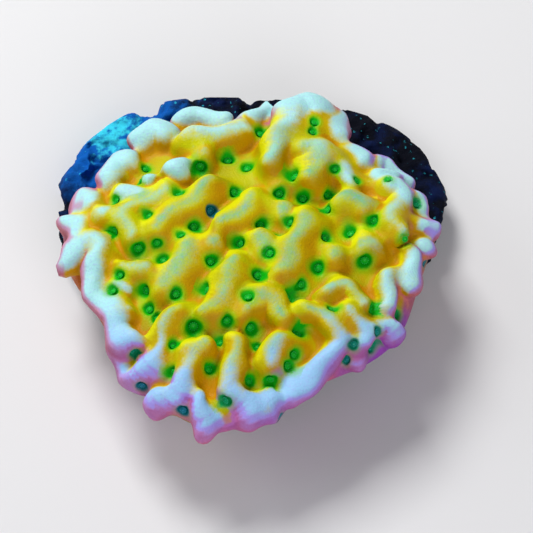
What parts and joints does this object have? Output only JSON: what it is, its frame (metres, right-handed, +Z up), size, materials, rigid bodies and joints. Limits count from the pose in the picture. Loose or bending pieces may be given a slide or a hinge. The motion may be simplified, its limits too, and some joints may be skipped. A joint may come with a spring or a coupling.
{
  "type": "encrusting coral colony on a reef rock base",
  "caption": "Encrusting coral colony with winding ridges, beads and polyp pits, grown on a small slab of reef rock with a flat underside.",
  "frame": {"origin": "middle of the flat underside of the rock", "axes": "+Z up out of the colony, -Y towards the side that the picture is taken from"},
  "size_m": [0.0314, 0.0358, 0.0113],
  "materials": {
    "coral_tissue": "fine-grained coral crust, yellow valleys with pale blue-white crests and a pink and lavender rim",
    "reef_rock": "rough reef rock, dark blue with paler blue flecks",
    "polyp": "soft green polyps in the pits"
  },
  "bodies": {
    "root": {"coral_colony": "coral_tissue", "rock_base": "reef_rock"}
  },
  "joints": []
}
